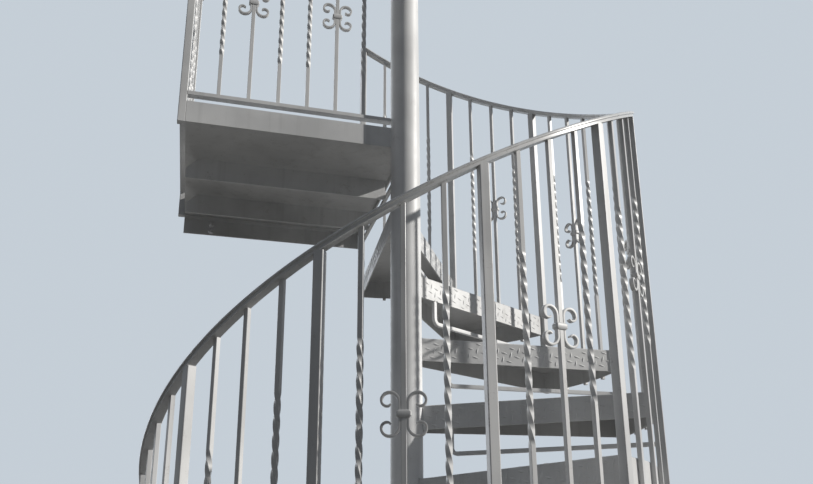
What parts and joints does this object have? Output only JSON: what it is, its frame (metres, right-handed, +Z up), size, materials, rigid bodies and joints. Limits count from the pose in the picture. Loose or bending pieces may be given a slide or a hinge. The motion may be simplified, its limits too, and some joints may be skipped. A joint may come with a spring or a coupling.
{
  "type": "exterior spiral staircase with landing",
  "caption": "Steel spiral stair on a centre column, with folded checkered treads, twisted and scroll balusters, a helical handrail and a guarded square landing.",
  "frame": {"origin": "on the ground, under the middle of the column's base plate", "axes": "+Z up along the column; the stair climbs counter-clockwise about +Z; +Y is the way off the landing, to the balcony it is bolted to; -X is the landing's closed side"},
  "size_m": [1.559, 1.5796, 4.083],
  "materials": {
    "frame_paint": "semi-gloss silver grey paint",
    "checker_plate_paint": "semi-gloss silver grey paint over checkered plate, worn on the lugs",
    "rail_paint": "semi-gloss silver grey paint, hand-worn on top"
  },
  "bodies": {
    "root": {"base_plate": "frame_paint", "center_column": "frame_paint", "column_cap": "frame_paint", "tread_01": "checker_plate_paint", "tread_02": "checker_plate_paint", "tread_03": "checker_plate_paint", "tread_04": "checker_plate_paint", "tread_05": "checker_plate_paint", "tread_06": "checker_plate_paint", "tread_07": "checker_plate_paint", "tread_08": "checker_plate_paint", "tread_09": "checker_plate_paint", "tread_10": "checker_plate_paint", "tread_11": "checker_plate_paint", "tread_12": "checker_plate_paint", "balusters_01": "frame_paint", "balusters_02": "frame_paint", "balusters_03": "frame_paint", "balusters_04": "frame_paint", "balusters_05": "frame_paint", "balusters_06": "frame_paint", "balusters_07": "frame_paint", "balusters_08": "frame_paint", "balusters_09": "frame_paint", "balusters_10": "frame_paint", "balusters_11": "frame_paint", "balusters_12": "frame_paint", "stair_scrolls": "frame_paint", "rail_posts": "frame_paint", "post_foot": "frame_paint", "spiral_handrail": "rail_paint", "riser_bars": "frame_paint", "landing_plate": "checker_plate_paint", "front_toe_board": "frame_paint", "side_toe_board": "frame_paint", "landing_ledger": "frame_paint", "landing_stiffener": "frame_paint", "landing_posts": "frame_paint", "guard_top_rail": "rail_paint", "guard_bottom_rails": "frame_paint", "front_guard_bars": "frame_paint", "side_guard_bars": "frame_paint", "guard_scrolls": "frame_paint"}
  },
  "joints": []
}
